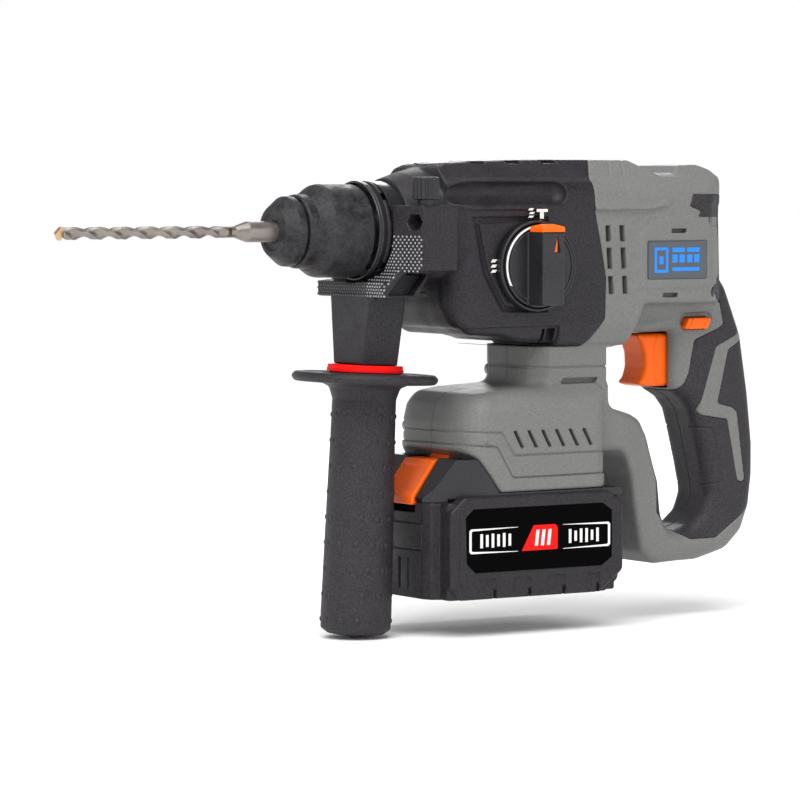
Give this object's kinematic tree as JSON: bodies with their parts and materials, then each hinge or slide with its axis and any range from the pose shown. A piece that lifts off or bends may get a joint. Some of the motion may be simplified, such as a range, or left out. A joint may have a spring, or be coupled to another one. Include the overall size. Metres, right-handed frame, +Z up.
{
  "type": "rotary hammer",
  "caption": "Cordless rotary hammer with a drill bit in its sprung chuck, side handle, D-shaped rear handle, mode dial and slide-on battery.",
  "frame": {"origin": "on the spindle axis, where the bit's shank leaves the dust cap", "axes": "+X from the bit to the rear, +Z up, +Y to the side away from the mode dial"},
  "size_m": [0.397, 0.0874, 0.2311],
  "materials": {
    "black_plastic": "fine moulded texture, satin",
    "grey_plastic": "fine moulded texture",
    "black_rubber": "soft, matt",
    "plate": "smooth",
    "orange_plastic": "satin",
    "red_plastic": "satin",
    "steel": "machined",
    "hardened_steel": "dark, oiled",
    "aluminium": "die cast",
    "copper": "enamelled wire",
    "carbide": "brazed",
    "board_green": "varnished",
    "label_black": "printed film",
    "cell_wrap": "shrink film",
    "white_plastic": "plain"
  },
  "bodies": {
    "tool_body": {"gear_housing": "black_plastic", "housing_left": "grey_plastic", "housing_right": "grey_plastic", "grip_cover_left": "black_rubber", "grip_cover_right": "black_rubber", "name_plates": "plate", "dial_ring": "black_plastic", "bearing_bulkhead": "aluminium", "spindle_support": "aluminium", "spindle_bearings": "steel", "spindle_oil_seal": "black_rubber", "layshaft_bearings": "steel", "motor_stator": "hardened_steel", "motor_windings": "copper", "motor_bearings": "steel", "switch_module": "black_plastic", "controller_board": "board_green", "terminal_block": "black_plastic", "motor_leads": "copper", "housing_screws": "steel", "gear_housing_screws": "steel", "trigger_spring": "steel"},
    "spindle_body": {"spindle": "steel", "spindle_gear": "hardened_steel", "dust_cap": "black_rubber", "locking_balls": "steel", "chuck_spring": "steel"},
    "sleeve_body": {"chuck_sleeve": "black_rubber", "locking_ring": "hardened_steel"},
    "bit_body": {"drill_bit": "steel", "carbide_tip": "carbide"},
    "beat_body": {"beat_piece": "steel"},
    "striker_body": {"striker": "steel"},
    "piston_body": {"piston": "aluminium", "piston_pin": "steel"},
    "wobble_body": {"wobble_ring": "hardened_steel"},
    "layshaft_body": {"layshaft": "steel", "layshaft_gear": "hardened_steel", "wobble_hub": "steel"},
    "rotor_body": {"rotor_shaft": "steel", "rotor_core": "hardened_steel", "cooling_fan": "black_plastic"},
    "dial_body": {"mode_dial": "black_plastic", "dial_cap": "orange_plastic"},
    "shift_body": {"shift_plate": "steel"},
    "trigger_body": {"trigger": "orange_plastic"},
    "selector_body": {"direction_selector": "orange_plastic"},
    "handle_body": {"handle_bracket": "black_plastic", "clamp_band": "steel", "handle_washer": "red_plastic"},
    "grip_body": {"handle_grip": "black_rubber", "handle_bolt": "steel"},
    "lock_body": {"depth_lock_button": "black_plastic"},
    "battery_body": {"battery_lower_case": "black_plastic", "battery_upper_case": "black_plastic", "battery_labels": "label_black", "battery_cells": "cell_wrap", "cell_holder": "white_plastic", "battery_board": "board_green"},
    "release_body": {"battery_release_button": "orange_plastic"}
  },
  "joints": [
    {"name": "spindle_spin", "type": "hinge", "parent": "tool_body", "child": "spindle_body", "pos_m": [0, 0, 0], "axis": [1, 0, 0], "continuous": true},
    {"name": "layshaft_spin", "type": "hinge", "parent": "tool_body", "child": "layshaft_body", "pos_m": [0.1, 0, -0.0275], "axis": [1, 0, 0], "continuous": true},
    {"name": "rotor_spin", "type": "hinge", "parent": "tool_body", "child": "rotor_body", "pos_m": [0.18, 0, -0.0055], "axis": [1, 0, 0], "continuous": true},
    {"name": "sleeve_slide", "type": "slide", "parent": "spindle_body", "child": "sleeve_body", "axis": [1, 0, 0], "range_m": [0, 0.005], "stiffness_N_per_m": 900, "springref_m": -0.006, "deforming": ["chuck_spring"]},
    {"name": "bit_slide", "type": "slide", "parent": "spindle_body", "child": "bit_body", "axis": [-1, 0, 0], "range_m": [0, 0.008]},
    {"name": "beat_slide", "type": "slide", "parent": "spindle_body", "child": "beat_body", "axis": [1, 0, 0], "range_m": [-0.0015, 0.0003]},
    {"name": "striker_slide", "type": "slide", "parent": "tool_body", "child": "striker_body", "axis": [1, 0, 0], "range_m": [-0.0024, 0.0024]},
    {"name": "wobble_tilt", "type": "hinge", "parent": "tool_body", "child": "wobble_body", "pos_m": [0.138, 0, -0.0275], "axis": [0, 1, 0], "range_deg": [-10, 10]},
    {"name": "piston_slide", "type": "slide", "parent": "tool_body", "child": "piston_body", "axis": [1, 0, 0], "range_m": [-0.0049, 0.0049]},
    {"name": "mode_dial_turn", "type": "hinge", "parent": "tool_body", "child": "dial_body", "pos_m": [0.129, -0.035, -0.0173], "axis": [0, -1, 0], "range_deg": [0, 90]},
    {"name": "shift_slide", "type": "slide", "parent": "tool_body", "child": "shift_body", "axis": [1, 0, 0], "range_m": [-0.0058, 0.0001]},
    {"name": "trigger_slide", "type": "slide", "parent": "tool_body", "child": "trigger_body", "axis": [1, 0, 0], "range_m": [0, 0.005], "stiffness_N_per_m": 1400, "springref_m": -0.004, "deforming": ["trigger_spring"]},
    {"name": "selector_slide", "type": "slide", "parent": "tool_body", "child": "selector_body", "axis": [0, 1, 0], "range_m": [-0.0025, 0.0025]},
    {"name": "handle_swing", "type": "hinge", "parent": "tool_body", "child": "handle_body", "pos_m": [0.0575, 0, 0], "axis": [1, 0, 0], "range_deg": [-90, 90]},
    {"name": "grip_turn", "type": "hinge", "parent": "handle_body", "child": "grip_body", "pos_m": [0.0526, 0, -0.0684], "axis": [0.0454, 0, 0.999], "range_deg": [0, 180]},
    {"name": "depth_lock_press", "type": "slide", "parent": "handle_body", "child": "lock_body", "axis": [0, 0, -1], "range_m": [0, 0.0025], "stiffness_N_per_m": 1200, "springref_m": -0.003},
    {"name": "battery_slide", "type": "slide", "parent": "tool_body", "child": "battery_body", "axis": [-1, 0, 0], "range_m": [0, 0.0032]},
    {"name": "release_press", "type": "slide", "parent": "battery_body", "child": "release_body", "axis": [0, 0, -1], "range_m": [0, 0.003], "stiffness_N_per_m": 1800, "springref_m": -0.003}
  ],
  "couplings": [
    {"joint": "layshaft_spin", "follows": "spindle_spin", "ratio": -2.6667},
    {"joint": "rotor_spin", "follows": "spindle_spin", "ratio": 10.37},
    {"joint": "piston_slide", "follows": "wobble_tilt", "m_per_rad": 0.0275},
    {"joint": "shift_slide", "follows": "mode_dial_turn", "m_per_rad": -0.0036}
  ]
}
